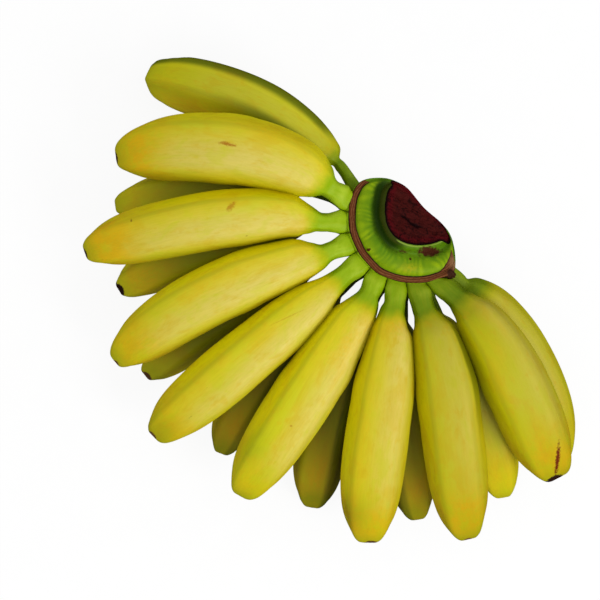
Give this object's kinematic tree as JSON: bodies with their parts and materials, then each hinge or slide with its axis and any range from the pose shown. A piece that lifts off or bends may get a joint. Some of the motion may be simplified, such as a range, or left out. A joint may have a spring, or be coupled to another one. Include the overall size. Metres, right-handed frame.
{
  "type": "hand of baby bananas",
  "caption": "Hand of small yellow bananas on one green crown, in two nested rows, lying convex side up on its fingertips.",
  "frame": {"origin": "the middle of the hand's bounding box, at the level of the surface that it rests on", "axes": "+Z up from the resting surface. Seen from above with +X to the right and +Y up, the crown is at the upper right, the stem cut faces +X+Y, and the fingers fan out from -X+Y through -X-Y to +X-Y"},
  "size_m": [0.2326, 0.2284, 0.0744],
  "materials": {
    "peel": "satin",
    "crown_skin": "satin"
  },
  "bodies": {
    "root": {"crown": "crown_skin", "upper_finger_01": "peel", "upper_finger_02": "peel", "upper_finger_03": "peel", "upper_finger_04": "peel", "upper_finger_05": "peel", "upper_finger_06": "peel", "upper_finger_07": "peel", "upper_finger_08": "peel", "upper_finger_09": "peel", "lower_finger_01": "peel", "lower_finger_02": "peel", "lower_finger_03": "peel", "lower_finger_04": "peel", "lower_finger_05": "peel", "lower_finger_06": "peel", "lower_finger_07": "peel", "lower_finger_08": "peel"}
  },
  "joints": []
}
